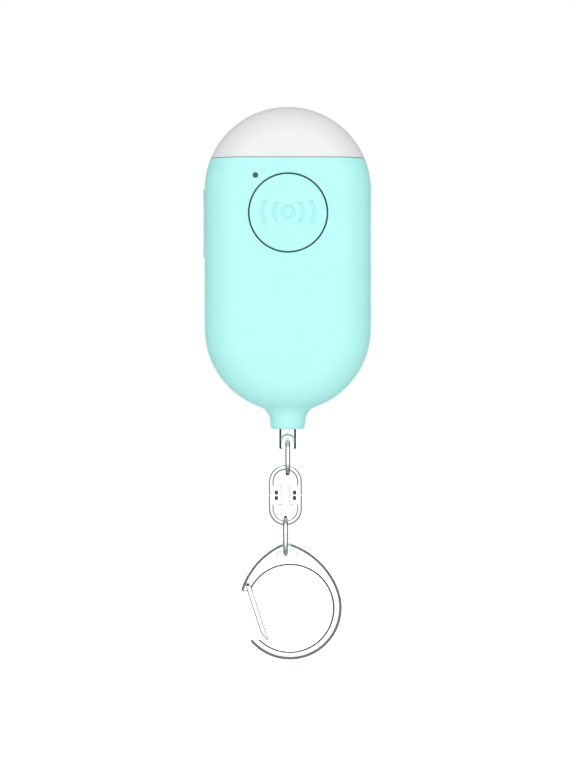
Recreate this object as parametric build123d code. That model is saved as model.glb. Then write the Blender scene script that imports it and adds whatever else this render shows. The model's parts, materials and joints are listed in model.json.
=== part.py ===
"""Personal safety alarm: a pebble-shaped housing with a lamp dome, an alarm button
and a pull pin, and a short chain from the pin to a round snap hook.

Millimetres. +Z runs up through the lamp dome, the front with the button faces -Y,
and +X is to the right. The origin is the middle of the housing without its neck.
"""

import os
from math import asin, atan2, cos, degrees, dist, radians, sin, sqrt

from build123d import *

# Housing
body_width = 37.8
body_straight = 31.36
body_depth = 17.5
edge_round = 7.0
wall = 1.6
seam_width = 0.22
seam_depth = 0.25
lip_thickness = 0.8
lip_reach = 1.2
lip_root = 1.5
part_gap = 0.1

# Neck at the bottom, where the pull pin comes out
neck_length = 3.92
neck_tip_radius = 3.82
neck_root_radius = 4.3
neck_blend = 3.4
neck_tip_round = 0.6
neck_mouth_gap = 0.25

# Lamp dome
lens_seam_rise = 7.12
lens_seam_gap = 0.12
lens_wall = 2.0
lens_rim_thickness = 0.9
lens_rim_depth = 1.8
lamp_board_thickness = 0.7
lamp_board_drop = 2.75
lamp_led_width = 3.5
lamp_led_depth = 2.8
lamp_led_height = 1.2
lamp_led_pitch = 4.6
lamp_led_count = 5
reflector_thickness = 0.85
reflector_window_gap = 0.25

# Alarm button and its switch
button_rim_gap = 1.16
button_radius = 8.7
button_groove = 0.35
button_proud = 0.1
button_edge_round = 0.25
button_dome_inset = 1.3
button_dome_rise = 0.45
button_top = 1.3
button_skirt = 1.2
button_flange_width = 0.9
button_flange_thickness = 0.7
button_seal_gap = 0.06
button_seal_recess = 0.3
button_boss_radius = 1.95
button_travel = 0.6
mark_depth = 0.35
mark_stroke = 0.7
mark_ring_radius = 1.25
mark_arc_radius_shares = (0.447, 0.78)
mark_arc_angles = (36.0, 25.0)
switch_width = 6.0
switch_height = 3.5
plunger_radius = 1.6
plunger_length = 1.3
plunger_proud = 0.7
plunger_gap = 0.1

# Indicator at the upper left of the button
indicator_angle = 131.2
indicator_button_gap = 0.49
indicator_radius = 0.64
indicator_collar_radius = 1.1
indicator_collar_thickness = 1.0
indicator_recess = 0.12
indicator_led_length = 1.0
indicator_led_width = 0.6
indicator_led_thickness = 0.6
indicator_gap = 0.1

# Boards
board_thickness = 1.0
board_back = -0.3
board_edge_gap = 1.5
board_top_gap = 0.25
board_pin_gap = 0.8
chip_width = 5.0
chip_thickness = 0.9
chip_x = 0.5
chip_drop = 8.3
transformer_width = 6.4
transformer_thickness = 4.8
transformer_round = 0.35
transformer_inset = 8.4
transformer_drop = 10.6
inductor_radius = 1.9
inductor_base = 4.2
inductor_base_thickness = 0.55
inductor_thickness = 2.2
inductor_x = -4.0
inductor_gap = 1.57

# Battery
battery_post_gap = 0.4
battery_top_gap = 1.65
battery_end_gap = 10.25
battery_front_gap = 0.65
battery_round = 1.0
tape_thickness = 0.2
tape_margin = 2.0
lead_radius = 0.35
lead_spread = 2.0
lead_rise = 1.5
lead_bend = 0.9

# Siren
siren_height = -8.0
siren_wall = 0.8
siren_board_gap = 1.5
siren_ledge = 1.0
siren_ledge_thickness = 0.6
piezo_recess = 1.6
piezo_thickness = 0.4
mesh_gap = 0.2
mesh_thickness = 0.15
outlet_radius = 0.6
outlet_ring_pitch = 3.0
outlet_ring_counts = (1, 6, 12)
siren_lead_radius = 0.3
siren_lead_spread = 2.5

# Charging socket and its silicone cover on the left side
socket_width = 8.94
socket_thickness = 3.26
socket_length = 7.3
socket_shell = 0.3
socket_recess = 2.7
socket_corner = 1.3
socket_post_gap = 2.31
tongue_width = 6.7
tongue_thickness = 0.7
tongue_setback = 0.9
cover_length = 15.6
cover_width = 7.0
cover_proud = 0.28
cover_thickness = 1.3
cover_gap = 0.15
cover_anchor_length = 2.6
cover_hinge_gap = 0.1
plug_width = 8.8
plug_thickness = 3.2
plug_length = 1.4
port_side_gap = 0.5
port_face_gap = 0.4
port_pad_margin = 0.9
port_pad_depth = 2.6
anchor_stem_width = 1.6
anchor_barb_extra = 0.3
anchor_barb_length = 0.6

# Screws and their posts
post_radius = 2.1
upper_post_wall_gap = 2.0
upper_post_rim_gap = 1.8
lower_post_wall_gap = 2.8
lower_post_drop = 2.25
screw_shank_radius = 0.8
screw_head_radius = 1.6
screw_head_height = 1.2
screw_head_drop = 2.25
screw_length = 11.0
screw_gap = 0.15
thread_gap = 0.02
screw_slot_width = 0.4
screw_slot_length = 1.9
screw_slot_depth = 0.6

# Pull pin, its bushing, seal and contacts
pin_radius = 2.0
pin_reach = 4.55
pin_flat_depth = 2.9
pin_end_round = 0.3
pin_hole_radius = 0.9
pin_hole_drop = 2.36
pin_hole_chamfer = 0.6
pin_shoulder_rise = 7.9
pin_tip_radius = 1.4
pin_tip_rise = 14.2
pin_tip_chamfer = 0.5
pin_clearance = 0.05
bushing_skin = 0.27
bushing_bottom_gap = 0.6
bushing_rise = 7.5
boss_wall = 1.3
boss_rise = 8.3
seal_rise = 4.3
seal_wire_radius = 0.35
seal_gap = 0.04
contact_gap = 0.3
contact_thickness = 0.2
contact_width = 2.0
contact_length = 5.4
contact_foot_width = 2.5
contact_foot_length = 2.0
contact_foot_drop = 0.9

# Chain
link_wire_radius = 0.575
link_width = 7.1
upper_link_length = 8.88
lower_link_length = 9.67
link_seat_gap = 0.3
chain_gap = 0.2
chain_shift = -0.51
connector_wire_radius = 0.55
connector_width = 7.5
connector_length = 13.69
connector_gap = 0.15
lug_reach = 1.7
lug_height = 2.0
lug_depth = 1.0
lock_pin_width = 0.75
lock_pin_height = 0.9
lock_pin_round = 0.25
lock_pin_leg_gap = 0.2
lock_pin_seam_gap = 0.1
rivet_inset = 0.4
rivet_radius = 0.22
rivet_head_radius = 0.36
rivet_head_height = 0.15

# Snap hook
hook_depth = 2.6
hook_apex_width = 1.6
hook_apex_round = 3.0
hook_apex_shift = -0.34
hook_apex_corner = 0.25
hook_outer_bevel = 0.6
hook_inner_bevel = 0.34
hook_inner_bevel_depth = 0.6
hook_end_bevel = 0.2
hook_eye_x = -0.16
hook_eye_width = 4.6
hook_eye_height = 2.62
hook_eye_chamfer = 0.15
hook_eye_web = 0.75
hook_seat_gap = 0.4
ring_x = 0.49
ring_inner_radius = 9.8
ring_wall = 1.97
ring_outer_shift = (0.02, 0.14)
ring_right_angle = 21.3
ring_left_angle = 168.9
pivot_inset = 1.13
pivot_angle = 150.6
nose_reach = 1.5
nose_round = 0.45
jaw_drop = 7.06
jaw_tip_round = 0.35
gate_width = 1.15
gate_taper = 2.1
gate_tip_width = 0.45
gate_bevel = 0.2
gate_jaw_gap = 0.66
gate_tip_overlap = 0.48
gate_fork_reach = 1.85
gate_cheek = 0.22
gate_side_gap = 0.05
gate_heel_depth = 1.0
gate_heel_radius = 0.95
gate_heel_flat = 0.75
gate_slot_gap = 1.05
gate_pin_radius = 0.25
gate_pin_gap = 0.05
fixed_pin_gap = 0.01
spring_angle = 53.0
spring_radius = 0.32
spring_wire_radius = 0.09
spring_turns = 6
spring_bore_gap = 0.09
spring_end_gap = 0.05
spring_length = 3.1

# Places that several pieces share
overrun = 1.0
front_y = -body_depth / 2
back_y = body_depth / 2
body_radius = body_width / 2
end_height = body_straight / 2
lens_seam_height = end_height + lens_seam_rise
neck_tip = -end_height - body_radius - neck_length
front_inside = front_y + wall
back_inside = back_y - wall
board_front = board_back - board_thickness
siren_front = board_back + siren_board_gap
piezo_front = siren_front + piezo_recess
button_front = front_y - button_proud
flange_front = front_inside + part_gap
switch_front = board_front - switch_height
plunger_front = switch_front - plunger_proud
lens_bottom = lens_seam_height + lens_seam_gap / 2
housing_top = lens_seam_height - lens_seam_gap / 2
lens_rim_bottom = lens_bottom - lens_rim_depth
lamp_board_bottom = lens_seam_height - lamp_board_drop
lamp_board_top = lamp_board_bottom + lamp_board_thickness
board_top = lamp_board_bottom - board_top_gap
button_flange_radius = button_radius + button_flange_width
button_dome_radius = button_radius - button_dome_inset
button_height = lens_rim_bottom - button_rim_gap - button_flange_radius
indicator_distance = button_flange_radius + indicator_collar_radius + indicator_button_gap
indicator_x = indicator_distance * cos(radians(indicator_angle))
indicator_height = button_height + indicator_distance * sin(radians(indicator_angle))
upper_post_x = body_radius - wall - upper_post_wall_gap - post_radius
upper_post_height = lens_rim_bottom - upper_post_rim_gap - post_radius
lower_post_x = body_radius - wall - lower_post_wall_gap - post_radius
lower_post_height = -end_height - lower_post_drop
battery_back = board_front - tape_thickness
battery_front = front_inside + battery_front_gap
battery_top = button_height - button_flange_radius - battery_top_gap
battery_bottom = -end_height - body_radius + battery_end_gap
battery_width = 2 * (lower_post_x - post_radius - battery_post_gap)
siren_radius = body_radius - edge_round - part_gap
port_y = board_back + socket_thickness / 2
port_height = upper_post_height - post_radius - socket_post_gap - socket_width / 2
port_floor = cover_thickness - cover_proud
cover_hinge_height = port_height + cover_length / 2 - cover_anchor_length
socket_mouth_x = -body_radius + socket_recess
post_rows = ((upper_post_x, upper_post_height), (lower_post_x, lower_post_height))
post_places = [(s * x, z) for x, z in post_rows for s in (-1, 1)]
screw_head_seat = back_y - screw_head_drop
screw_end = screw_head_seat - screw_length
chip_height = board_top - chip_drop
transformer_x = body_radius - transformer_inset
transformer_height = board_top - transformer_drop
inductor_height = port_height + socket_width / 2 + inductor_gap + inductor_base / 2
seal_groove = seal_wire_radius + seal_gap
seal_groove_radius = pin_radius + pin_clearance + 2 * seal_groove
bushing_radius = seal_groove_radius + bushing_skin
bushing_bottom = neck_tip + bushing_bottom_gap
bushing_top = neck_tip + bushing_rise
boss_top = neck_tip + boss_rise
seal_height = neck_tip + seal_rise
neck_mouth_radius = pin_radius + neck_mouth_gap
pin_shoulder = neck_tip + pin_shoulder_rise
pin_tip = neck_tip + pin_tip_rise
board_bottom = pin_tip + board_pin_gap
pin_end = neck_tip - pin_reach
pin_hole_height = neck_tip - pin_hole_drop
connector_centre_length = connector_length - 2 * connector_wire_radius
upper_link_top = pin_hole_height - (pin_hole_radius - link_wire_radius - link_seat_gap)
upper_link_bottom = upper_link_top - upper_link_length + 2 * link_wire_radius
wire_pitch = link_wire_radius + connector_wire_radius + chain_gap
connector_top = upper_link_bottom + wire_pitch
connector_bottom = connector_top - connector_centre_length
lower_link_top = connector_bottom + wire_pitch
lower_link_bottom = lower_link_top - lower_link_length + 2 * link_wire_radius
hook_eye_top = lower_link_bottom + link_wire_radius + hook_seat_gap
hook_apex = hook_eye_top + hook_apex_width
hook_eye_centre = hook_eye_top - hook_eye_height / 2
ring_height = hook_eye_top - hook_eye_height - hook_eye_web - ring_inner_radius
ring_centre = (ring_x, ring_height)
ring_outer_radius = ring_inner_radius + ring_wall
jaw_end = ring_height - jaw_drop
jaw_corner = (ring_x - sqrt(ring_inner_radius**2 - jaw_drop**2), jaw_end)
gate_slot_depth = gate_heel_depth + 2 * gate_side_gap
gate_slot_radius = gate_heel_radius + gate_slot_gap
gate_fork_inside = hook_depth / 2 + gate_side_gap
gate_half_depth = gate_fork_inside + gate_cheek


def from_ring_centre(radius, angle):
    """Point of the front view at a distance and angle from the middle of the ring."""
    x = ring_x + radius * cos(radians(angle))
    z = ring_height + radius * sin(radians(angle))
    return (x, z)


def gate_rest_angle():
    """Angle of the closed gate, which stays clear of the jaw's inner corner."""
    towards_jaw = degrees(atan2(jaw_corner[1] - pivot[1], jaw_corner[0] - pivot[0]))
    beside = gate_width / 2 + gate_jaw_gap
    return towards_jaw + degrees(asin(beside / dist(pivot, jaw_corner)))


pivot = from_ring_centre(ring_inner_radius + pivot_inset, pivot_angle)
nose_end = pivot[1] - nose_reach
gate_angle = gate_rest_angle()
gate_length = dist(pivot, jaw_corner) + gate_tip_overlap


def on_front(x, z, y=0.0):
    """Sketch plane that faces -Y, with its origin at (x, y, z)."""
    return Plane(origin=(x, y, z), x_dir=(1, 0, 0), z_dir=(0, -1, 0))


def rod_y(x, z, radius, y_low, y_high):
    """Cylinder along Y between two depths."""
    return extrude(on_front(x, z, y_high) * Circle(radius), y_high - y_low)


def rod_z(radius, z_low, z_high):
    """Cylinder on the Z axis between two heights."""
    return Pos(0, 0, z_low) * extrude(Circle(radius), z_high - z_low)


def block(x_range, y_range, z_range):
    """Box between two values on each axis."""
    (x0, x1), (y0, y1), (z0, z1) = x_range, y_range, z_range
    centre = ((x0 + x1) / 2, (y0 + y1) / 2, (z0 + z1) / 2)
    return Pos(*centre) * Box(x1 - x0, y1 - y0, z1 - z0)


def flare(x, z, y_face, radius, width, depth):
    """Cone that widens a bore along Y towards the face at y_face."""
    side = 1 if y_face > 0 else -1
    mouth = Plane(origin=(x, y_face, z), x_dir=(1, 0, 0), z_dir=(0, side, 0))
    cone = Pos(0, 0, -depth / 2) * Cone(radius, radius + width, depth)
    return mouth.location * cone


def slab_y(y_low, y_high):
    """Wide layer between two depths."""
    reach = body_width + body_straight
    return block((-reach, reach), (y_low, y_high), (-reach, reach))


def slab_z(z_low, z_high):
    """Wide layer between two heights."""
    reach = body_width + body_straight
    return block((-reach, reach), (-reach, reach), (z_low, z_high))


def pebble(grow):
    """The housing's rounded form, grown outwards or inwards by one offset."""
    outline = SlotCenterToCenter(body_straight, body_width + 2 * grow, rotation=90)
    solid = extrude(Plane.XZ * outline, body_depth / 2 + grow, both=True)
    faces = solid.faces().filter_by(Axis.Y).sort_by(Axis.Y)
    return fillet(faces[0].edges() + faces[-1].edges(), edge_round + grow)


def layer(outer, inner):
    """Space between two offsets of the housing's form."""
    return pebble(outer) - pebble(inner)


def housing_form():
    """Outside of the housing with its neck."""
    top = -end_height - body_radius / 2
    slope = (neck_root_radius - neck_tip_radius) / neck_length
    height = top - neck_tip
    neck = Pos(0, 0, neck_tip + height / 2) * Cone(
        neck_tip_radius, neck_tip_radius + slope * height, height
    )
    form = pebble(0) + neck
    root = [
        e
        for e in form.edges()
        if e.bounding_box().max.Z < neck_tip + 2 * neck_length
        and e.bounding_box().min.Z > neck_tip + neck_tip_round
    ]
    form = fillet(root, neck_blend)
    tip = form.faces().filter_by(Axis.Z).sort_by(Axis.Z)[0]
    return fillet(tip.edges(), neck_tip_round)


def cover_outline(grow):
    """Rounded outline of the side cover, as a bar that runs along X."""
    plane = Plane(
        origin=(-body_radius - 2 * cover_proud, port_y, port_height),
        x_dir=(0, 0, 1),
        z_dir=(1, 0, 0),
    )
    slot = SlotOverall(cover_length + 2 * grow, cover_width + 2 * grow)
    return extrude(plane * slot, body_radius / 2)


def port_slot(width, thickness, x_low, x_high):
    """Bar along X with round ends, for the charging opening and the cover's plug."""
    plane = Plane(origin=(x_low, port_y, port_height), x_dir=(0, 0, 1), z_dir=(1, 0, 0))
    return extrude(plane * SlotOverall(width, thickness), x_high - x_low)


def port_opening():
    """Recess for the silicone cover, opening for the plug and slot for the anchor."""
    pocket = cover_outline(cover_gap) & layer(overrun, -port_floor - part_gap / 2)
    way_in = port_slot(
        plug_width + 2 * port_side_gap,
        plug_thickness + 2 * port_face_gap,
        -body_radius,
        socket_mouth_x,
    )
    mouth = socket_mouth_x - part_gap
    seat = socket_bar(-part_gap, mouth, mouth + socket_length)
    return pocket + way_in + seat + anchor_stem(part_gap) + anchor_barb(part_gap)


def anchor_height():
    """Height of the middle of the cover's fixed end."""
    return cover_hinge_height + cover_anchor_length / 2


def anchor_stem(grow):
    """Stem that holds the cover's fixed end in the wall."""
    half = anchor_stem_width / 2 + grow
    z = anchor_height()
    x_in = -body_radius + port_pad_depth + anchor_barb_length
    return block((-body_radius + port_floor, x_in), (port_y - half, port_y + half), (z - half, z + half))


def bushing_seat():
    """Bore for the pin bushing, with the smaller mouth at the neck's tip."""
    mouth = rod_z(neck_mouth_radius, neck_tip - overrun, bushing_bottom + overrun)
    return mouth + rod_z(bushing_radius, bushing_bottom, boss_top + overrun)


def anchor_barb(grow):
    """Wider end of the anchor's stem, behind the wall."""
    half = anchor_stem_width / 2 + anchor_barb_extra + grow
    z = anchor_height()
    x_low = -body_radius + port_pad_depth
    return block(
        (x_low, x_low + anchor_barb_length + grow),
        (port_y - half, port_y + half),
        (z - half, z + half),
    )


def housing_blank():
    """Both halves of the housing in one piece, before they are parted."""
    solid = housing_form() - pebble(-wall)
    boss = rod_z(bushing_radius + boss_wall, neck_tip + neck_length, boss_top)
    pad = cover_outline(port_pad_margin) & layer(-port_floor, -port_pad_depth)
    solid = solid + (boss & pebble(-wall / 2)) + pad
    solid -= port_opening()
    solid -= bushing_seat()
    solid -= slab_z(housing_top, body_width + body_straight)
    return solid


def posts(y_low, y_high):
    """The four screw posts between two depths, rooted in the wall."""
    core = pebble(-wall / 2)
    return [rod_y(x, z, post_radius, y_low, y_high) & core for x, z in post_places]


def groove_at_parting():
    """Fine shadow line all round, where the two halves meet."""
    return layer(overrun, -seam_depth) & slab_y(-seam_width / 2, seam_width / 2)


def front_shell(blank):
    solid = blank & slab_y(-body_depth, 0)
    solid -= groove_at_parting()
    for post in posts(front_y, board_front):
        solid += post
    solid -= rod_y(
        0, button_height, button_radius + button_groove, front_y - overrun, front_inside + overrun
    )
    solid -= rod_y(
        indicator_x, indicator_height, indicator_radius, front_y - overrun, front_inside + overrun
    )
    for x, z in post_places:
        solid -= rod_y(x, z, screw_shank_radius + thread_gap, screw_end - screw_gap, 0)
    return solid


def locating_lip():
    """Lip on the rear half that fits inside the front half."""
    outer = -wall - part_gap
    inner = outer - lip_thickness
    lip = layer(outer, inner) & slab_y(-lip_reach, 0)
    lip += layer(-wall / 2, inner) & slab_y(0, lip_root)
    lip -= slab_z(lens_rim_bottom - part_gap, body_width + body_straight)
    lip -= cover_outline(port_pad_margin + part_gap)
    lip -= rod_z(bushing_radius + boss_wall + part_gap, neck_tip, boss_top)
    return lip


def rear_shell(blank):
    solid = blank & slab_y(0, body_depth)
    solid -= groove_at_parting()
    solid += locating_lip()
    for post in posts(board_back, back_y):
        solid += post
    for x, z in post_places:
        solid -= rod_y(x, z, screw_shank_radius + screw_gap, board_back - overrun, back_y)
        solid -= rod_y(x, z, screw_head_radius + screw_gap, screw_head_seat, back_y + overrun)
    for ring, count in enumerate(outlet_ring_counts):
        for k in range(count):
            angle = radians(360 * k / count)
            x = ring * outlet_ring_pitch * cos(angle)
            z = siren_height + ring * outlet_ring_pitch * sin(angle)
            solid -= rod_y(x, z, outlet_radius, back_inside - overrun, back_y + overrun)
    return solid


def dome_lens():
    cap = layer(0, -lens_wall) & slab_z(lens_bottom, body_width)
    outer = -wall - part_gap
    rim = layer(outer, outer - lens_rim_thickness) & slab_z(lens_rim_bottom, lens_bottom + lens_wall)
    return cap + rim


def lamp_board():
    inset = -wall - 2 * part_gap - lens_rim_thickness
    board = pebble(inset) & slab_z(lamp_board_bottom, lamp_board_top)
    flange_end = flange_front + button_flange_thickness + button_travel
    notch_radius = button_flange_radius + part_gap
    return board - rod_y(0, button_height, notch_radius, front_y, flange_end + part_gap)


def lamp_places():
    """Places of the lamp LEDs along the lamp board."""
    middle = (lamp_led_count - 1) / 2
    return [(k - middle) * lamp_led_pitch for k in range(lamp_led_count)]


def lamp_leds():
    top = lamp_board_top + lamp_led_height
    half_x = lamp_led_width / 2
    half_y = lamp_led_depth / 2
    return [
        block((x - half_x, x + half_x), (-half_y, half_y), (lamp_board_top, top))
        for x in lamp_places()
    ]


def lamp_reflector():
    inset = -wall - 3 * part_gap - lens_rim_thickness
    top = lamp_board_top + reflector_thickness
    solid = pebble(inset) & slab_z(lamp_board_top, top)
    half_x = lamp_led_width / 2 + reflector_window_gap
    half_y = lamp_led_depth / 2 + reflector_window_gap
    for x in lamp_places():
        window = (x - half_x, x + half_x)
        solid -= block(window, (-half_y, half_y), (lamp_board_bottom, top + overrun))
    return solid


def button_dome(shift):
    """Ball whose cap is the raised middle of the button, moved inwards by a depth."""
    radius = (button_dome_radius**2 + button_dome_rise**2) / (2 * button_dome_rise)
    y = button_front - button_dome_rise + radius + shift
    return Pos(0, y, button_height) * Sphere(radius)


def button_body(shift):
    """Outside of the button's cap, with its raised middle."""
    low = button_front + shift
    deep = flange_front + button_flange_thickness
    cap = rod_y(0, button_height, button_radius, low, deep)
    cap = fillet(cap.faces().sort_by(Axis.Y)[0].edges(), button_edge_round)
    rise = rod_y(0, button_height, button_dome_radius, low - button_dome_rise, deep)
    return cap + (rise & button_dome(shift))


def alarm_mark():
    """Generic alarm mark: a ring with sound waves on both sides."""
    outer = mark_ring_radius + mark_stroke / 2
    mark = Circle(outer) - Circle(outer - mark_stroke)
    for share, angle in zip(mark_arc_radius_shares, mark_arc_angles):
        for turn in (0, 180):
            arc = CenterArc((0, 0), share * button_dome_radius, turn - angle, 2 * angle)
            mark += SlotArc(arc, mark_stroke)
    return mark


def alarm_button():
    deep = flange_front + button_flange_thickness
    cap = button_body(0)
    cap += rod_y(0, button_height, button_flange_radius, flange_front, deep)
    cap -= rod_y(
        0, button_height, button_radius - button_skirt, button_front + button_top, deep + overrun
    )
    cap += rod_y(0, button_height, button_boss_radius, button_front + button_top, plunger_front)
    cutter = extrude(on_front(0, button_height, button_front + overrun / 2) * alarm_mark(), 2 * overrun)
    return cap - (cutter - button_body(mark_depth))


def button_seal():
    """Rubber ring in the groove round the button, held by the wall of the front half."""
    outer = button_radius + button_groove - fixed_pin_gap
    inner = button_radius + button_seal_gap
    ring = rod_y(0, button_height, outer, front_y + button_seal_recess, front_inside)
    return ring - rod_y(0, button_height, inner, front_y, front_inside + overrun)


def button_switch():
    half = switch_width / 2
    body = block(
        (-half, half), (switch_front, board_front), (button_height - half, button_height + half)
    )
    bore_end = plunger_front + plunger_length + button_travel + plunger_gap
    return body - rod_y(0, button_height, plunger_radius + plunger_gap, switch_front, bore_end)


def switch_plunger():
    return rod_y(0, button_height, plunger_radius, plunger_front, plunger_front + plunger_length)


def indicator_light_pipe():
    back = board_front - indicator_led_thickness - indicator_gap
    stem = rod_y(indicator_x, indicator_height, indicator_radius, front_y + indicator_recess, back)
    collar_back = front_inside + indicator_collar_thickness
    collar = rod_y(indicator_x, indicator_height, indicator_collar_radius, front_inside, collar_back)
    return stem + collar


def indicator_led():
    half_x = indicator_led_length / 2
    half_z = indicator_led_width / 2
    return block(
        (indicator_x - half_x, indicator_x + half_x),
        (board_front - indicator_led_thickness, board_front),
        (indicator_height - half_z, indicator_height + half_z),
    )


def main_board():
    radius = body_radius - wall - board_edge_gap
    outline = SlotCenterToCenter(body_straight, 2 * radius, rotation=90)
    board = extrude(on_front(0, 0, board_back) * outline, board_thickness)
    board = board & slab_z(board_bottom, board_top)
    for x, z in post_places:
        board -= rod_y(x, z, screw_shank_radius + screw_gap, board_front - overrun, board_back + overrun)
    return board


def controller_chip():
    half = chip_width / 2
    return block(
        (chip_x - half, chip_x + half),
        (board_back, board_back + chip_thickness),
        (chip_height - half, chip_height + half),
    )


def siren_transformer():
    half = transformer_width / 2
    body = block(
        (transformer_x - half, transformer_x + half),
        (board_back, board_back + transformer_thickness),
        (transformer_height - half, transformer_height + half),
    )
    return fillet(body.edges().filter_by(Axis.Y), transformer_round)


def charge_inductor():
    half = inductor_base / 2
    base = block(
        (inductor_x - half, inductor_x + half),
        (board_back, board_back + inductor_base_thickness),
        (inductor_height - half, inductor_height + half),
    )
    core = rod_y(
        inductor_x, inductor_height, inductor_radius, board_back, board_back + inductor_thickness
    )
    return base + core


def battery():
    cell = block(
        (-battery_width / 2, battery_width / 2),
        (battery_front, battery_back),
        (battery_bottom, battery_top),
    )
    return fillet(cell.edges().filter_by(Axis.Z), battery_round)


def battery_tape():
    half = battery_width / 2 - tape_margin
    return block(
        (-half, half),
        (battery_back, board_front),
        (battery_bottom + tape_margin, battery_top - tape_margin),
    )


def battery_lead(x):
    """One insulated wire from the cell's top to the board."""
    y = (battery_front + battery_back) / 2
    bend_height = battery_top + lead_rise
    path = FilletPolyline(
        (x, y, battery_top), (x, y, bend_height), (x, board_front, bend_height), radius=lead_bend
    )
    return sweep(Plane(origin=path @ 0, z_dir=path % 0) * Circle(lead_radius), path=path)


def siren_ring():
    solid = rod_y(0, siren_height, siren_radius, siren_front, back_inside)
    bore = siren_radius - siren_wall
    solid -= rod_y(0, siren_height, bore, siren_front - overrun, back_inside + overrun)
    ledge_front = piezo_front - siren_ledge_thickness
    ledge = rod_y(0, siren_height, siren_radius - siren_wall / 2, ledge_front, piezo_front)
    ledge -= rod_y(0, siren_height, bore - siren_ledge, ledge_front - overrun, piezo_front + overrun)
    return solid + ledge


def piezo_disc():
    radius = siren_radius - siren_wall - part_gap
    return rod_y(0, siren_height, radius, piezo_front, piezo_front + piezo_thickness)


def siren_lead(x):
    return rod_y(x, siren_height, siren_lead_radius, board_back, piezo_front)


def sound_mesh():
    radius = siren_radius - siren_wall - mesh_gap
    return rod_y(0, siren_height, radius, back_inside - mesh_thickness, back_inside)


def socket_bar(inset, x_low, x_high):
    """Rounded bar along X, as large as the charging socket less an inset all round."""
    plane = Plane(origin=(x_low, port_y, port_height), x_dir=(0, 0, 1), z_dir=(1, 0, 0))
    outline = RectangleRounded(
        socket_width - 2 * inset, socket_thickness - 2 * inset, socket_corner - inset
    )
    return extrude(plane * outline, x_high - x_low)


def charging_socket():
    end = socket_mouth_x + socket_length
    shell = socket_bar(0, socket_mouth_x, end)
    return shell - socket_bar(socket_shell, socket_mouth_x - overrun, end - socket_shell)


def charging_tongue():
    half_z = tongue_width / 2
    half_y = tongue_thickness / 2
    end = socket_mouth_x + socket_length - socket_shell
    return block(
        (socket_mouth_x + tongue_setback, end),
        (port_y - half_y, port_y + half_y),
        (port_height - half_z, port_height + half_z),
    )


def cover_skin():
    """Outer skin of the silicone cover, which follows the housing's form."""
    return cover_outline(0) & layer(cover_proud, -port_floor)


def port_cover():
    top = cover_hinge_height - cover_hinge_gap / 2
    flap = cover_skin() & slab_z(-body_straight, top)
    start = -body_radius + port_floor - part_gap
    return flap + port_slot(plug_width, plug_thickness, start, start + part_gap + plug_length)


def port_cover_anchor():
    bottom = cover_hinge_height + cover_hinge_gap / 2
    end = cover_skin() & slab_z(bottom, body_straight)
    return end + anchor_stem(0) + anchor_barb(0)


def shell_screw(x, z):
    head_top = screw_head_seat + screw_head_height
    screw = rod_y(x, z, screw_head_radius, screw_head_seat, head_top)
    screw += rod_y(x, z, screw_shank_radius, screw_end, screw_head_seat)
    long = screw_slot_length / 2
    narrow = screw_slot_width / 2
    depth = (head_top - screw_slot_depth, head_top + overrun)
    screw -= block((x - long, x + long), depth, (z - narrow, z + narrow))
    screw -= block((x - narrow, x + narrow), depth, (z - long, z + long))
    return screw


def pin_bushing():
    bore = pin_radius + pin_clearance
    sleeve = rod_z(bushing_radius, bushing_bottom, bushing_top)
    sleeve -= rod_z(bore, bushing_bottom - overrun, bushing_top + overrun)
    return sleeve - rod_z(seal_groove_radius, seal_height - seal_groove, seal_height + seal_groove)


def pin_seal_ring():
    middle = pin_radius + pin_clearance + seal_wire_radius
    return Pos(0, 0, seal_height) * Torus(middle, seal_wire_radius)


def pull_pin():
    shank = rod_z(pin_radius, pin_end, pin_shoulder)
    shank = fillet(shank.faces().filter_by(Axis.Z).sort_by(Axis.Z)[0].edges(), pin_end_round)
    tip = rod_z(pin_tip_radius, pin_shoulder, pin_tip)
    tip = chamfer(tip.faces().filter_by(Axis.Z).sort_by(Axis.Z)[-1].edges(), pin_tip_chamfer)
    pin = shank + tip
    half = pin_flat_depth / 2
    for side in (-1, 1):
        y_range = sorted((side * half, side * 2 * pin_radius))
        pin -= block((-2 * pin_radius, 2 * pin_radius), y_range, (pin_end - overrun, neck_tip))
    pin -= rod_y(0, pin_hole_height, pin_hole_radius, -half - overrun, half + overrun)
    for y_face in (-half, half):
        pin -= flare(0, pin_hole_height, y_face, pin_hole_radius, pin_hole_chamfer, pin_hole_chamfer)
    return pin


def pin_contact(side):
    """Leaf that the pin's tip holds off its partner, with its foot on the board."""
    inner = pin_tip_radius + contact_gap
    outer = inner + contact_thickness
    top = board_bottom - part_gap
    leaf = block(
        sorted((side * inner, side * outer)),
        (-contact_width / 2, contact_width / 2),
        (top - contact_length, top),
    )
    foot = block(
        sorted((side * inner, side * (inner + contact_foot_width))),
        (board_back, board_back + contact_thickness),
        (board_bottom - contact_foot_drop, board_bottom + contact_foot_length),
    )
    return leaf + foot


def wire_loop(plane, width, length, wire_radius):
    """Closed oval wire, with its length along the plane's own Y."""
    middle = width - 2 * wire_radius
    reach = length - 2 * wire_radius
    outline = SlotOverall(reach, middle, rotation=90)
    path = (plane * outline).wire()
    section = Plane(origin=path @ 0, z_dir=path % 0) * Circle(wire_radius)
    return sweep(section, path=path)


def loop_between(x, top, bottom, width, wire_radius, facing):
    """Oval link from the wire's top centre to its bottom centre, in a given plane."""
    middle = (top + bottom) / 2
    plane = Plane(origin=(x, 0, middle), x_dir=facing, z_dir=Vector(facing).cross(Vector(0, 0, 1)))
    return wire_loop(plane, width, top - bottom + 2 * wire_radius, wire_radius)


def upper_chain_link():
    return loop_between(0, upper_link_top, upper_link_bottom, link_width, link_wire_radius, (0, 1, 0))


def lower_chain_link():
    return loop_between(
        chain_shift, lower_link_top, lower_link_bottom, link_width, link_wire_radius, (0, 1, 0)
    )


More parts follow.
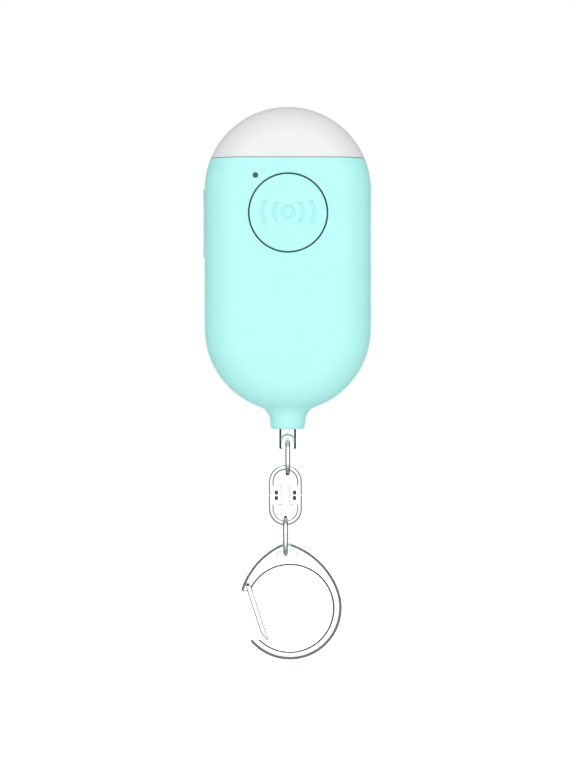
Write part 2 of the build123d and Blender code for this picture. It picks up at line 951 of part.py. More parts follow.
def beside_leg(side, distance):
    """X of a point inside the connector link, at a distance from the inner side of a leg."""
    return chain_shift + side * (connector_width / 2 - 2 * connector_wire_radius - distance)


def lock_pin(side, part, grow):
    """Dark cross pin in a lug, grown by a gap for its hole."""
    middle = (connector_top + connector_bottom) / 2
    x = beside_leg(side, lock_pin_leg_gap + lock_pin_width / 2)
    z = middle + part * (connector_gap / 2 + lock_pin_seam_gap + lock_pin_height / 2)
    outline = RectangleRounded(
        lock_pin_width + 2 * grow, lock_pin_height + 2 * grow, lock_pin_round + grow
    )
    return extrude(on_front(x, z, lug_depth / 2 + grow) * outline, lug_depth + 2 * grow)


def connector_half(part):
    """One U of the connector link: part is 1 for the upper one, -1 for the lower one."""
    middle = (connector_top + connector_bottom) / 2
    half_gap = connector_gap / 2
    loop = loop_between(
        chain_shift, connector_top, connector_bottom, connector_width, connector_wire_radius, (1, 0, 0)
    )
    ends = sorted((middle + part * half_gap, middle + part * connector_length))
    half = loop & slab_z(*ends)
    z_range = sorted((middle + part * half_gap, middle + part * (half_gap + lug_height)))
    for side in (-1, 1):
        x_range = sorted((beside_leg(side, lug_reach), beside_leg(side, -connector_wire_radius)))
        lug = block(x_range, (-lug_depth / 2, lug_depth / 2), z_range)
        half += fillet(lug.edges().filter_by(Axis.Z), lug_depth / 4)
        bore = Cylinder(rivet_radius + fixed_pin_gap, 2 * connector_length)
        half -= Pos(rivet_x(side), 0, middle) * bore
        half -= lock_pin(side, part, fixed_pin_gap)
    return half


def rivet_x(side):
    """Middle of a rivet, near the inner end of its lug."""
    return beside_leg(side, lug_reach - rivet_inset)


def connector_rivet(side):
    middle = (connector_top + connector_bottom) / 2
    reach = connector_gap / 2 + lug_height
    shank = Cylinder(rivet_radius, 2 * (reach + rivet_head_height))
    rivet = shank
    for end in (-1, 1):
        head = Cylinder(rivet_head_radius, rivet_head_height)
        rivet += Pos(0, 0, end * (reach + rivet_head_height / 2)) * head
    return Pos(rivet_x(side), 0, middle) * rivet


def ring_point(radius, angle):
    """Point of the hook's outer ring circle, in the X and Z of the front view."""
    x = ring_x + ring_outer_shift[0] + radius * cos(radians(angle))
    z = ring_height + ring_outer_shift[1] + radius * sin(radians(angle))
    return (x, z)


def hook_outline():
    """Outer outline of the hook: a round bottom and two long arcs up to the eye."""
    right = ring_point(ring_outer_radius, ring_right_angle)
    left = ring_point(ring_outer_radius, ring_left_angle)
    low = ring_point(ring_outer_radius, (ring_right_angle + ring_left_angle) / 2 + 180)
    apex = (hook_apex_shift, hook_apex + hook_apex_corner)
    up_right = (-sin(radians(ring_right_angle)), cos(radians(ring_right_angle)))
    up_left = (sin(radians(ring_left_angle)), -cos(radians(ring_left_angle)))
    edges = [
        ThreePointArc(left, low, right),
        TangentArc(right, apex, tangent=up_right),
        TangentArc(left, apex, tangent=up_left),
    ]
    face = make_face(edges)
    corner = face.vertices().sort_by(Axis.Y)[-1]
    return fillet(corner, hook_apex_round)


def bevelled_ring():
    """Closed ring with its arm up to the apex, bevelled along its outer and inner edges."""
    half = hook_depth / 2
    solid = extrude(Plane.XZ * hook_outline(), half, both=True)
    sides = solid.faces().filter_by(Axis.Y)
    solid = chamfer(sides[0].edges() + sides[-1].edges(), hook_outer_bevel)
    solid -= rod_y(*ring_centre, ring_inner_radius, -half - overrun, half + overrun)
    for y_face in (-half, half):
        solid -= flare(*ring_centre, y_face, ring_inner_radius, hook_inner_bevel, hook_inner_bevel_depth)
    return solid


def end_bevel(y, z):
    """Square bar on a corner of the nose or the jaw, which takes off an even bevel."""
    side = hook_end_bevel * sqrt(2)
    bar = Rot(45, 0, 0) * Box(2 * ring_outer_radius, side, side)
    return Pos(ring_x - ring_outer_radius, y, z) * bar


def hook_blank():
    """Ring with its mouth cut out between the nose and the jaw, whose corners are rounded."""
    mouth = block((ring_x - 2 * ring_outer_radius, ring_x), (-hook_depth, hook_depth), (jaw_end, nose_end))
    solid = bevelled_ring() - mouth
    for height, radius in ((nose_end, nose_round), (jaw_end, jaw_tip_round)):
        tips = [e for e in solid.edges().filter_by(Axis.Y) if abs(e.center().Z - height) < part_gap]
        solid = fillet(tips, radius)
        for y in (-hook_depth / 2, hook_depth / 2):
            solid -= end_bevel(y, height)
    return solid


def snap_hook():
    half = hook_depth / 2
    solid = hook_blank() - hook_eye()
    solid -= rod_y(*pivot, gate_slot_radius, -gate_slot_depth / 2, gate_slot_depth / 2)
    solid -= rod_y(*pivot, gate_pin_radius + fixed_pin_gap, -half - overrun, half + overrun)
    return solid - spring_bore()


def hook_eye():
    """Oval hole for the chain, with a small chamfer at both mouths."""
    half = hook_depth / 2
    half_width = hook_eye_width / 2
    half_height = hook_eye_height / 2
    hole = Ellipse(half_width, half_height)
    wide = Ellipse(half_width + hook_eye_chamfer, half_height + hook_eye_chamfer)
    eye = extrude(on_front(hook_eye_x, hook_eye_centre, half + overrun) * hole, 2 * (half + overrun))
    for side in (-1, 1):
        low = on_front(hook_eye_x, hook_eye_centre, side * (half - hook_eye_chamfer)) * hole
        high = on_front(hook_eye_x, hook_eye_centre, side * half) * wide
        eye += loft([low, high])
    return eye


def along_spring(distance):
    """Point on the spring's axis, at a distance from the gate's pivot."""
    x = pivot[0] + distance * cos(radians(spring_angle))
    z = pivot[1] + distance * sin(radians(spring_angle))
    return Vector(x, 0, z)


def spring_plane(distance):
    """Plane across the spring's axis."""
    return Plane(origin=along_spring(distance), z_dir=along_spring(1) - along_spring(0))


def spring_bore():
    """Blind bore in the hook's arm for the gate spring."""
    radius = spring_radius + spring_wire_radius + spring_bore_gap
    start = gate_heel_flat + spring_end_gap
    return extrude(spring_plane(start) * Circle(radius), spring_length + spring_end_gap)


def gate_spring():
    start = gate_heel_flat + spring_end_gap + spring_wire_radius
    height = spring_length - 2 * spring_wire_radius - spring_end_gap
    path = Helix(pitch=height / spring_turns, height=height, radius=spring_radius)
    section = Plane(origin=path @ 0, z_dir=path % 0) * Circle(spring_wire_radius)
    coil = sweep(section, path=path, is_frenet=True)
    return spring_plane(start).location * coil


def gate_plate(sketch, half_depth):
    """Plate from a sketch whose +X runs from the pivot along the closed gate."""
    turned = Location((pivot[0], pivot[1], 0)) * Rot(0, 0, gate_angle) * sketch
    return extrude(Plane.XZ * turned, half_depth, both=True)


def gate_finger():
    """Finger with a round end at the pivot, slanted at its tip on the side of the jaw."""
    half = gate_width / 2
    points = [
        (0, half),
        (gate_length, half),
        (gate_length, half - gate_tip_width),
        (gate_length - gate_taper, -half),
        (0, -half),
    ]
    outline = make_face(Polyline(*points, close=True)) + Circle(half)
    finger = gate_plate(outline, gate_half_depth)
    sides = finger.faces().filter_by(Axis.Y)
    return chamfer(sides[0].edges() + sides[-1].edges(), gate_bevel)


def hook_gate():
    """Gate whose fork holds the nose between its cheeks, with a heel in the nose's slot."""
    gate = gate_finger() - rod_y(*pivot, gate_fork_reach, -gate_fork_inside, gate_fork_inside)
    reach = gate_fork_reach + gate_width / 2
    root = Pos(reach / 2, 0) * Rectangle(reach, gate_width)
    gate += gate_plate(root + Circle(gate_heel_radius), gate_heel_depth / 2)
    gate -= rod_y(*pivot, gate_pin_radius + gate_pin_gap, -body_depth, body_depth)
    flat = spring_plane(gate_heel_flat) * Rectangle(4 * gate_heel_radius, 4 * gate_heel_radius)
    return gate - extrude(flat, gate_heel_radius)


def gate_pivot_pin():
    return rod_y(*pivot, gate_pin_radius, -gate_half_depth, gate_half_depth)


def solid_parts(shape):
    """Single solids of a shape, as one list."""
    return list(shape.solids())


def write(name, *shapes):
    """One file for each sub-part, with its separate solids side by side."""
    solids = [s for shape in shapes for s in solid_parts(shape)]
    part = solids[0] if len(solids) == 1 else Compound(children=solids)
    part.label = name
    export_step(part, os.path.join("parts", name + ".step"))


def main():
    os.makedirs("parts", exist_ok=True)
    blank = housing_blank()
    write("front_shell", front_shell(blank))
    write("rear_shell", rear_shell(blank))
    write("dome_lens", dome_lens())
    write("lamp_board", lamp_board())
    write("lamp_leds", *lamp_leds())
    write("lamp_reflector", lamp_reflector())
    write("alarm_button", alarm_button())
    write("button_seal", button_seal())
    write("button_switch", button_switch())
    write("switch_plunger", switch_plunger())
    write("indicator_light_pipe", indicator_light_pipe())
    write("indicator_led", indicator_led())
    write("main_board", main_board())
    write("controller_chip", controller_chip())
    write("siren_transformer", siren_transformer())
    write("charge_inductor", charge_inductor())
    write("battery", battery())
    write("battery_tape", battery_tape())
    write("battery_leads", battery_lead(-lead_spread), battery_lead(lead_spread))
    write("siren_ring", siren_ring())
    write("piezo_disc", piezo_disc())
    write("siren_leads", siren_lead(-siren_lead_spread), siren_lead(siren_lead_spread))
    write("sound_mesh", sound_mesh())
    write("charging_socket", charging_socket())
    write("charging_tongue", charging_tongue())
    write("port_cover", port_cover())
    write("port_cover_anchor", port_cover_anchor())
    write("shell_screws", *[shell_screw(x, z) for x, z in post_places])
    write("pin_bushing", pin_bushing())
    write("pin_seal_ring", pin_seal_ring())
    write("pin_contacts", pin_contact(-1), pin_contact(1))
    write("pull_pin", pull_pin())
    write("upper_chain_link", upper_chain_link())
    write("connector_link_upper", connector_half(1))
    write("connector_link_lower", connector_half(-1))
    write("connector_rivets", connector_rivet(-1), connector_rivet(1))
    write("connector_lock_pins", *[lock_pin(s, p, 0) for s in (-1, 1) for p in (-1, 1)])
    write("lower_chain_link", lower_chain_link())
    write("snap_hook", snap_hook())
    write("hook_gate", hook_gate())
    write("gate_pivot_pin", gate_pivot_pin())
    write("gate_spring", gate_spring())


main()
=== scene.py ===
"""Looks of the personal safety alarm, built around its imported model.

Lengths are metres in the model's own frame: +Z up through the lamp dome, front -Y.
"""

import json
import math

import bmesh
import bpy
from mathutils import Matrix, Vector


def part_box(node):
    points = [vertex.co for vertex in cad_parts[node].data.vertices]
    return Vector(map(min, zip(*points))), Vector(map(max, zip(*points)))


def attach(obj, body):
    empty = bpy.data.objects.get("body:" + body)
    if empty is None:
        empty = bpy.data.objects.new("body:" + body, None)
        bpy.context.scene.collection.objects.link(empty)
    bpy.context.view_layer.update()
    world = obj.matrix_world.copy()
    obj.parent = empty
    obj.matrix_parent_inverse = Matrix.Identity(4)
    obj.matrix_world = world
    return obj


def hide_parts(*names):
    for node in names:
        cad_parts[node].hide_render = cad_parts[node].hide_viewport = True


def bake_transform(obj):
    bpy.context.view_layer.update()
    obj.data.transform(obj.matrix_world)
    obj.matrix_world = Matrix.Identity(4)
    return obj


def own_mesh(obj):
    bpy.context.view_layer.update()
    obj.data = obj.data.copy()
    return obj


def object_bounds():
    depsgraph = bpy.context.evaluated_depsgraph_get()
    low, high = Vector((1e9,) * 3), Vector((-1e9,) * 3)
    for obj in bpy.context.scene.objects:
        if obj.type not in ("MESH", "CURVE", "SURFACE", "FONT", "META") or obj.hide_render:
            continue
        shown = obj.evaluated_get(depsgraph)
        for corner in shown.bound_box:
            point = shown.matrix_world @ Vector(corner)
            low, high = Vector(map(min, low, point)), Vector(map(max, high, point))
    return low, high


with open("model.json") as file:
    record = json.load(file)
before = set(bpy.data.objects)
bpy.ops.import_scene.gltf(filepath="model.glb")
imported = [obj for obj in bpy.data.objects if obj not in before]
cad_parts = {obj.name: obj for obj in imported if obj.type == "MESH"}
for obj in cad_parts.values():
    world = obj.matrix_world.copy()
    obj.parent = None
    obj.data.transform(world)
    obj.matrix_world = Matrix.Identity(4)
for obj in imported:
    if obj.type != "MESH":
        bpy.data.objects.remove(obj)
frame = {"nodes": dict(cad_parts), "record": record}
cad_low, cad_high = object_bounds()

mm = 0.001

# Camera, at the photograph's viewing angle
camera_distance = 765 * mm
camera_side = 0.08 * mm
camera_turn = math.radians(-0.7)
camera_height = -28.28 * mm
view_height = 174.72 * mm
sensor_size = 36.0
nearest_seen = 10 * mm

# Floor and light
floor_drop = 34 * mm
floor_half_size = 6.0
floor_seen_lift = 0.42
farthest_seen = 4 * floor_half_size
ambient_level = 0.62
seen_level = 1.0
panel_size = 1.4
panel_distance = 1.1
panel_height = 0.3
panel_watts = 7.1

# Dark flag round the object, a painted reflection that only the metal sees, with its tone at four depths
flag_radius = 90 * mm
flag_height = -30 * mm
flag_near = -95 * mm
flag_far = 150 * mm
flag_sides = 96
flag_tones = (
    (flag_near, (0.9, 0.9, 0.9)),
    (-45 * mm, (0.6, 0.61, 0.61)),
    (-8 * mm, (0.26, 0.28, 0.275)),
    (30 * mm, (0.04, 0.045, 0.045)),
)

# Gate spring, along the bore in the hook's arm
coil_angle = math.radians(53)
coil_start = 0.8 * mm
coil_radius = 0.32 * mm
coil_height = 2.87 * mm
coil_turns = 6
coil_steps = 20
wire_radius = 0.09 * mm
wire_sides = 10

# Silicone neck between the side cover and its fixed end
web_inset = 0.17 * mm
web_thickness = 0.6 * mm
web_half_width = 1.8 * mm
web_reach = 0.6 * mm
web_steps = 16

# Edges that the finishes soften
edge_samples = 6
moulded_edge = 0.12 * mm
soft_edge = 0.15 * mm
fine_edge = 0.05 * mm
wire_edge = 0.03 * mm
turned_chrome_edge = 0.2 * mm
cast_hook_edge = 0.3 * mm
cast_gate_edge = 0.4 * mm
light_pipe_edge = 0.1 * mm

# Moulded plastic and rubber
cloud_size = 9 * mm
cloud_shade = 0.985
spark_grain = 0.12 * mm
spark_relief = 0.004 * mm
milky_grain = 0.2 * mm
milky_relief = 0.002 * mm
milky_depth = 1.2 * mm
rubber_grain = 0.08 * mm
rubber_relief = 0.005 * mm
foam_grain = 0.3 * mm
foam_relief = 0.05 * mm
smoke_size = 0.5 * mm

# Metal
haze_size = 2.2 * mm
haze_shade = 0.97
polish_size = 0.9 * mm
polish_wear = 0.03
scratch_width = 0.05 * mm
scratch_length = 2.5 * mm
scratch_relief = 0.0002 * mm
line_turn = (0.3, 0.5, 0.9)
brush_width = 0.03 * mm
brush_length = 1.2 * mm
brush_relief = 0.001 * mm
brush_shade = 0.85
fold_size = 3 * mm
fold_relief = 0.15 * mm
# Share of the colour in the painted shade of the foil's creases
crease_painted_shade = 0.85

# Cloth and circuit board
thread_pitch = 0.12 * mm
thread_relief = 0.03 * mm
wave_stretch = 3.1
track_pitch = 1.6 * mm
track_reach = 0.42
track_relief = 0.02 * mm


def linear(red, green, blue):
    """Linear colour of an 8-bit display colour."""
    shares = [v / 255 for v in (red, green, blue)]
    return tuple(v / 12.92 if v <= 0.04045 else ((v + 0.055) / 1.055) ** 2.4 for v in shares)


def grey(level):
    return (level, level, level)


# Colours
mint = linear(182, 250, 246)
dome_white = linear(237, 238, 237)
silicone_white = linear(232, 233, 231)
plastic_white = (0.85, 0.85, 0.83)
plastic_black = (0.02, 0.02, 0.022)
smoke = linear(30, 38, 36)
smoke_dark = linear(22, 29, 27)
smoke_pale = linear(36, 44, 42)
chrome_grey = (0.88, 0.885, 0.89)
steel_grey = (0.62, 0.62, 0.63)
pin_steel = (0.05, 0.055, 0.055)
tin_steel = (0.66, 0.66, 0.67)
brass_yellow = (0.80, 0.58, 0.25)
foil_grey = (0.72, 0.73, 0.74)
ferrite_grey = (0.05, 0.05, 0.052)
phosphor_yellow = (0.90, 0.80, 0.38)
insulation_red = (0.50, 0.03, 0.02)
acetal_white = (0.72, 0.72, 0.70)
lacquer_green = (0.02, 0.16, 0.07)
lacquer_dark = (0.015, 0.13, 0.06)
track_green = (0.05, 0.30, 0.14)


def link(tree, source, target):
    tree.links.new(source, target)


def add_node(tree, kind, **settings):
    node = tree.nodes.new(kind)
    for name, value in settings.items():
        setattr(node, name, value)
    return node


def object_place(tree):
    """Place on the piece itself, which moves with it."""
    return add_node(tree, "ShaderNodeTexCoord").outputs["Object"]


def grain(tree, size, detail=2.0):
    """Noise whose features are about as large as size."""
    noise = add_node(tree, "ShaderNodeTexNoise")
    link(tree, object_place(tree), noise.inputs["Vector"])
    noise.inputs["Scale"].default_value = 1 / size
    noise.inputs["Detail"].default_value = detail
    return noise.outputs["Fac"]


def hair_lines(tree, width, length):
    """Noise drawn out along one direction into fine lines."""
    turn = add_node(tree, "ShaderNodeMapping")
    link(tree, object_place(tree), turn.inputs["Vector"])
    turn.inputs["Rotation"].default_value = line_turn
    turn.inputs["Scale"].default_value = (1 / width, 1 / width, 1 / length)
    noise = add_node(tree, "ShaderNodeTexNoise")
    link(tree, turn.outputs["Vector"], noise.inputs["Vector"])
    noise.inputs["Scale"].default_value = 1
    return noise.outputs["Fac"]


def remap(tree, value, source, target=(0, 1)):
    """Value carried over from one range to another and held inside it."""
    ramp = add_node(tree, "ShaderNodeMapRange")
    link(tree, value, ramp.inputs["Value"])
    for name, number in zip(("From Min", "From Max", "To Min", "To Max"), (*source, *target)):
        ramp.inputs[name].default_value = number
    return ramp.outputs["Result"]


def spread(tree, value, low=0, high=1, reach=0.25):
    """The middle of a noise, stretched between two values."""
    return remap(tree, value, (0.5 - reach, 0.5 + reach), (low, high))


def blend_colors(tree, share, first, second):
    mix = add_node(tree, "ShaderNodeMix", data_type="RGBA")
    link(tree, share, mix.inputs["Factor"])
    for socket, color in (("A_Color", first), ("B_Color", second)):
        found = next(s for s in mix.inputs if s.identifier == socket)
        if isinstance(color, tuple):
            found.default_value = (*color, 1)
        else:
            link(tree, color, found)
    return next(s for s in mix.outputs if s.identifier == "Result_Color")


def shaded(color, share):
    return tuple(c * share for c in color)


def material(name, color, roughness, metallic=0.0):
    """Material with its shader, ready for the detail of one finish."""
    made = bpy.data.materials.new(name)
    made.use_nodes = True
    shader = made.node_tree.nodes["Principled BSDF"]
    shader.inputs["Base Color"].default_value = (*color, 1)
    shader.inputs["Roughness"].default_value = roughness
    shader.inputs["Metallic"].default_value = metallic
    return made, made.node_tree, shader


def tint(tree, shader, share, first, second):
    """Base colour that goes from the first to the second with a share."""
    link(tree, blend_colors(tree, share, first, second), shader.inputs["Base Color"])


def vary_roughness(tree, shader, noise, low, high):
    link(tree, spread(tree, noise, low, high), shader.inputs["Roughness"])


def round_edges(tree, radius):
    """Normal that softens the piece's edges by a radius."""
    bevel = add_node(tree, "ShaderNodeBevel", samples=edge_samples)
    bevel.inputs["Radius"].default_value = radius
    return bevel.outputs["Normal"]


def emboss(tree, shader, height, depth, edge=None):
    """Relief in the shading, over edges softened by a radius."""
    bump = add_node(tree, "ShaderNodeBump")
    bump.inputs["Strength"].default_value = 1.0
    bump.inputs["Distance"].default_value = depth
    link(tree, height, bump.inputs["Height"])
    if edge is not None:
        link(tree, round_edges(tree, edge), bump.inputs["Normal"])
    link(tree, bump.outputs["Normal"], shader.inputs["Normal"])


def moulded(name, color, roughness, edge=moulded_edge, grain_size=spark_grain, relief=spark_relief):
    """Moulded plastic: faint clouding, a fine spark-eroded grain and soft edges."""
    made, tree, shader = material(name, color, roughness)
    tint(tree, shader, spread(tree, grain(tree, cloud_size)), shaded(color, cloud_shade), color)
    fine = grain(tree, grain_size, detail=3.0)
    vary_roughness(tree, shader, fine, roughness - 0.04, roughness + 0.05)
    emboss(tree, shader, fine, relief, edge)
    return made


def diffuser():
    """Milky lamp cap: light goes a little way into it."""
    made = moulded("milky_diffuser", dome_white, 0.34, soft_edge, milky_grain, milky_relief)
    shader = made.node_tree.nodes["Principled BSDF"]
    shader.inputs["Subsurface Weight"].default_value = 0.3
    shader.inputs["Subsurface Radius"].default_value = (1, 1, 1)
    shader.inputs["Subsurface Scale"].default_value = milky_depth
    return made


def silicone():
    """Silicone rubber with a faint sheen."""
    made = moulded("white_silicone_rubber", silicone_white, 0.6, soft_edge, rubber_grain, rubber_relief)
    shader = made.node_tree.nodes["Principled BSDF"]
    shader.inputs["Sheen Weight"].default_value = 0.15
    return made


def smoked():
    """Dark, glossy light pipe of the indicator."""
    made, tree, shader = material("smoked_light_pipe", smoke, 0.2)
    tint(tree, shader, spread(tree, grain(tree, smoke_size)), smoke_dark, smoke_pale)
    link(tree, round_edges(tree, light_pipe_edge), shader.inputs["Normal"])
    shader.inputs["Coat Weight"].default_value = 0.3
    return made


def plated(name, color, roughness, edge):
    """Polished plating: hazy patches, hair scratches and rounded edges."""
    made, tree, shader = material(name, color, roughness, metallic=1.0)
    tint(tree, shader, spread(tree, grain(tree, haze_size, detail=4.0)), shaded(color, haze_shade), color)
    worn = grain(tree, polish_size, detail=5.0)
    vary_roughness(tree, shader, worn, roughness, roughness + polish_wear)
    emboss(tree, shader, hair_lines(tree, scratch_width, scratch_length), scratch_relief, edge)
    return made


def brushed(name, color, roughness):
    """Bare metal with fine lines along one direction."""
    made, tree, shader = material(name, color, roughness, metallic=1.0)
    lines = hair_lines(tree, brush_width, brush_length)
    tint(tree, shader, spread(tree, lines), shaded(color, brush_shade), color)
    vary_roughness(tree, shader, lines, roughness - 0.08, roughness + 0.1)
    emboss(tree, shader, lines, brush_relief, fine_edge)
    return made


def crinkled(name, color):
    """Foil that is creased over a soft cell, with painted shade darkening its creases."""
    made, tree, shader = material(name, color, roughness=0.3, metallic=1.0)
    folds = grain(tree, fold_size, detail=4.0)
    # Painted shade: the low parts of the folds are coloured darker.
    tint(tree, shader, spread(tree, folds), shaded(color, crease_painted_shade), color)
    emboss(tree, shader, folds, fold_relief)
    return made


def woven(name, dark, pale):
    """Cloth with threads that cross at one pitch, in the plane of the piece's X and Z."""
    made, tree, shader = material(name, pale, roughness=0.8)
    crossing = add_node(tree, "ShaderNodeMath", operation="MULTIPLY")
    for direction, factor in zip(("X", "Z"), crossing.inputs):
        wave = add_node(tree, "ShaderNodeTexWave", bands_direction=direction)
        link(tree, object_place(tree), wave.inputs["Vector"])
        wave.inputs["Scale"].default_value = 1 / (thread_pitch * wave_stretch)
        link(tree, wave.outputs["Fac"], factor)
    threads = crossing.outputs[0]
    tint(tree, shader, threads, dark, pale)
    emboss(tree, shader, threads, thread_relief)
    return made


def solder_mask():
    """Green lacquer with paler tracks under it."""
    made, tree, shader = material("solder_mask", lacquer_green, roughness=0.3)
    cells = add_node(tree, "ShaderNodeTexVoronoi", feature="DISTANCE_TO_EDGE", distance="MANHATTAN")
    link(tree, object_place(tree), cells.inputs["Vector"])
    cells.inputs["Scale"].default_value = 1 / track_pitch
    tracks = spread(tree, cells.outputs["Distance"], 1, 0, track_reach)
    tint(tree, shader, tracks, lacquer_dark, track_green)
    emboss(tree, shader, tracks, track_relief)
    return made


finishes = {
    "mint_shell": moulded("mint_plastic", mint, roughness=0.4),
    "mint_button": moulded("mint_button_plastic", mint, roughness=0.36),
    "white_diffuser": diffuser(),
    "white_silicone": silicone(),
    "smoked_lens": smoked(),
    "chrome_plate": plated("nickel_chrome", chrome_grey, roughness=0.05, edge=turned_chrome_edge),
    "steel": brushed("plain_steel", steel_grey, roughness=0.3),
    "dark_steel": brushed("dark_steel", pin_steel, roughness=0.4),
    "socket_steel": brushed("socket_steel", tin_steel, roughness=0.25),
    "black_plastic": moulded("black_plastic", plastic_black, roughness=0.45, edge=fine_edge),
    "white_plastic": moulded("white_plastic", plastic_white, roughness=0.25),
    "led_package": moulded("led_phosphor", phosphor_yellow, roughness=0.3, edge=fine_edge),
    "circuit_board": solder_mask(),
    "ferrite": moulded("sintered_ferrite", ferrite_grey, roughness=0.6, edge=fine_edge),
    "battery_foil": crinkled("laminated_foil", foil_grey),
    "foam_tape": moulded("foam_tape", grey(0.06), 0.9, fine_edge, foam_grain, foam_relief),
    "wire_insulation": moulded("red_insulation", insulation_red, roughness=0.4, edge=wire_edge),
    "brass": brushed("stamped_brass", brass_yellow, roughness=0.3),
    "acetal": moulded("turned_acetal", acetal_white, roughness=0.35, edge=fine_edge),
    "seal_rubber": moulded("seal_rubber", grey(0.02), roughness=0.55, edge=wire_edge),
    "mesh_cloth": woven("acoustic_mesh", dark=grey(0.01), pale=grey(0.08)),
}


# Cast pieces of the hook, whose edges are tumbled rounder than those of the turned pin
node_finishes = {
    "snap_hook": plated("cast_hook_chrome", chrome_grey, roughness=0.07, edge=cast_hook_edge),
    "hook_gate": plated("cast_gate_chrome", chrome_grey, roughness=0.12, edge=cast_gate_edge),
}


def dress_nodes():
    """Each node takes the finish of its slot in the record, or one of its own."""
    slots = {part["node"]: part["material_slot"] for part in frame["record"]["subparts"]}
    for name, piece in frame["nodes"].items():
        piece.data.materials.clear()
        piece.data.materials.append(node_finishes.get(name, finishes[slots[name]]))


def make_camera():
    data = bpy.data.cameras.new("camera")
    data.sensor_width = sensor_size
    data.lens = sensor_size * camera_distance / view_height
    data.clip_start = nearest_seen
    data.clip_end = farthest_seen
    camera = bpy.data.objects.new("camera", data)
    turn = Matrix.Rotation(camera_turn, 4, "Z")
    camera.location = turn @ Vector((camera_side, -camera_distance, camera_height))
    camera.rotation_euler = (math.pi / 2, 0, camera_turn)
    bpy.context.scene.collection.objects.link(camera)
    bpy.context.scene.camera = camera


def seen_share(tree):
    """1 where the camera, a gloss or a clear piece sees the surface, and 0 where it only lights."""
    path = add_node(tree, "ShaderNodeLightPath")
    total = path.outputs["Is Camera Ray"]
    for name in ("Is Glossy Ray", "Is Transmission Ray"):
        both = add_node(tree, "ShaderNodeMath", operation="MAXIMUM")
        link(tree, total, both.inputs[0])
        link(tree, path.outputs[name], both.inputs[1])
        total = both.outputs[0]
    return total


def seen_and_lit(tree, lit, seen):
    """One level where the surface only lights, and another where it is seen."""
    return remap(tree, seen_share(tree), (0, 1), (lit, seen))


def make_world():
    world = bpy.data.worlds.new("studio")
    world.use_nodes = True
    tree = world.node_tree
    background = tree.nodes["Background"]
    background.inputs["Color"].default_value = (1, 1, 1, 1)
    link(tree, seen_and_lit(tree, ambient_level, seen_level), background.inputs["Strength"])
    bpy.context.scene.world = world


def new_piece(name, mesh):
    piece = bpy.data.objects.new(name, mesh)
    bpy.context.scene.collection.objects.link(piece)
    return piece


def make_floor():
    """Pale paper well below the object."""
    mesh = bpy.data.meshes.new("floor")
    height = cad_low.z - floor_drop
    size = floor_half_size
    corners = [(-size, -size, height), (size, -size, height), (size, size, height), (-size, size, height)]
    mesh.from_pydata(corners, [], [(0, 1, 2, 3)])
    floor = new_piece("floor", mesh)
    made, tree, shader = material("floor_paper", grey(0.96), roughness=0.9)
    shader.inputs["Specular IOR Level"].default_value = 0
    shader.inputs["Emission Color"].default_value = (1, 1, 1, 1)
    link(tree, seen_and_lit(tree, 0, floor_seen_lift), shader.inputs["Emission Strength"])
    mesh.materials.append(made)


def make_panel(name, side):
    """Large soft panel in front of the object or behind it."""
    data = bpy.data.lights.new(name, "AREA")
    data.size = panel_size
    data.energy = panel_watts
    panel = bpy.data.objects.new(name, data)
    panel.location = (0, side * panel_distance, panel_height)
    towards = Vector((0, 0, camera_height)) - Vector(panel.location)
    panel.rotation_euler = towards.to_track_quat("-Z", "Y").to_euler()
    panel.visible_camera = False
    bpy.context.scene.collection.objects.link(panel)


def turns_of(sides):
    """Evenly spaced angles of a full turn."""
    return [2 * math.pi * k / sides for k in range(sides)]


def skin_mesh(name, rings, closed=True, smooth=False):
    """Mesh over rings of places, with its ends closed or left open."""
    maker = bmesh.new()
    loops = [[maker.verts.new(place) for place in ring] for ring in rings]
    for loop, after in zip(loops, loops[1:]):
        for k in range(len(loop)):
            beside = (k + 1) % len(loop)
            maker.faces.new((loop[k], loop[beside], after[beside], after[k]))
    if closed:
        maker.faces.new(reversed(loops[0]))
        maker.faces.new(loops[-1])
        bmesh.ops.recalc_face_normals(maker, faces=maker.faces)
    for face in maker.faces:
        face.smooth = smooth and len(face.verts) == 4
    mesh = bpy.data.meshes.new(name)
    maker.to_mesh(mesh)
    maker.free()
    return mesh


def painted_reflection_cloth():
    """Painted reflection: cloth that darkens with its depth behind the camera's side of the flag."""
    made, tree, shader = material("painted_reflection_cloth", flag_tones[0][1], roughness=0.9)
    split = add_node(tree, "ShaderNodeSeparateXYZ")
    link(tree, object_place(tree), split.inputs["Vector"])
    tone = flag_tones[0][1]
    for (near, _), (far, color) in zip(flag_tones, flag_tones[1:]):
        tone = blend_colors(tree, remap(tree, split.outputs["Y"], (near, far)), tone, color)
    link(tree, tone, shader.inputs["Base Color"])
    return made


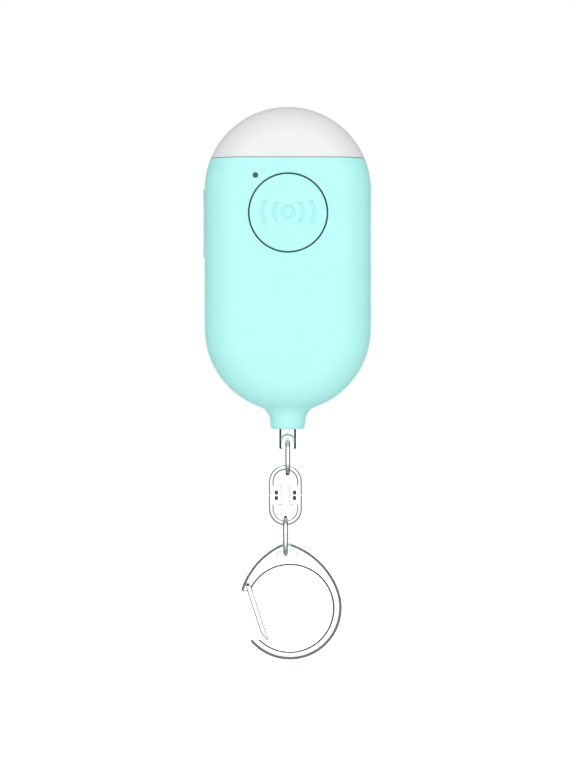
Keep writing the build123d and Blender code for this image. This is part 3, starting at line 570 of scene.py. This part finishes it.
def make_flag():
    """Dark studio flag round the object that only reflections see, a painted reflection so that metal
    keeps its edges; it casts no shadow and blocks no light.
    """
    rings = []
    for y in (flag_near, flag_far):
        places = []
        for turn in turns_of(flag_sides):
            places.append((flag_radius * math.cos(turn), y, flag_height + flag_radius * math.sin(turn)))
        rings.append(places)
    flag = new_piece("painted_reflection_flag", skin_mesh("painted_reflection_flag", rings, closed=False))
    flag.data.materials.append(painted_reflection_cloth())
    # Seen by glossy rays only: its dark tones are painted reflections on the metal.
    for name in ("camera", "diffuse", "transmission", "volume_scatter", "shadow"):
        setattr(flag, "visible_" + name, False)


def coil_rings(pivot, along):
    """Rings of the spring's wire, wound about the bore."""
    side = Vector((0, 1, 0))
    up = along.cross(side)
    steps = coil_turns * coil_steps
    rings = []
    for k in range(steps + 1):
        turn = 2 * math.pi * k / coil_steps
        outward = math.cos(turn) * side + math.sin(turn) * up
        rise = coil_start + wire_radius + coil_height * k / steps
        centre = pivot + along * rise + coil_radius * outward
        ring = []
        for around in turns_of(wire_sides):
            ring.append(centre + wire_radius * (math.cos(around) * outward + math.sin(around) * along))
        rings.append(ring)
    return rings


def make_gate_spring():
    """Coil in the hook's arm, wound about its bore, which moves with the hook."""
    pivot = sum((Vector(corner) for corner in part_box("gate_pivot_pin")), Vector()) / 2
    along = Vector((math.cos(coil_angle), 0, math.sin(coil_angle)))
    mesh = skin_mesh("gate_spring_coil", coil_rings(pivot, along), smooth=True)
    coil = new_piece("gate_spring_coil", mesh)
    mesh.materials.append(finishes["steel"])
    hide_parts("gate_spring")
    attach(coil, "hook")
    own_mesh(coil)


def web_rings(hinge):
    """Sections of the flat neck, from above the cover's hinge to below it."""
    outer = hinge.x + web_inset
    inner = outer + web_thickness
    front = hinge.y - web_half_width
    back = hinge.y + web_half_width
    section = [(outer, front), (outer, back), (inner, back), (inner, front)]
    rings = []
    for k in range(web_steps + 1):
        height = hinge.z + web_reach * (1 - 2 * k / web_steps)
        rings.append([(x, y, height) for x, y in section])
    return rings


def make_cover_web():
    """Thin silicone neck that joins the side cover to its fixed end."""
    joint = next(j for j in frame["record"]["behaviour"]["joints"] if j["name"] == "cover_open")
    hinge = Vector(joint["pos_m"])
    mesh = skin_mesh("cover_hinge_web", web_rings(hinge))
    web = new_piece("cover_hinge_web", mesh)
    mesh.materials.append(finishes["white_silicone"])
    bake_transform(web)


make_camera()
make_world()
make_floor()
make_panel("front_panel", -1)
make_panel("back_panel", 1)
make_flag()
dress_nodes()
make_gate_spring()
make_cover_web()
bpy.context.scene.view_settings.view_transform = "Standard"
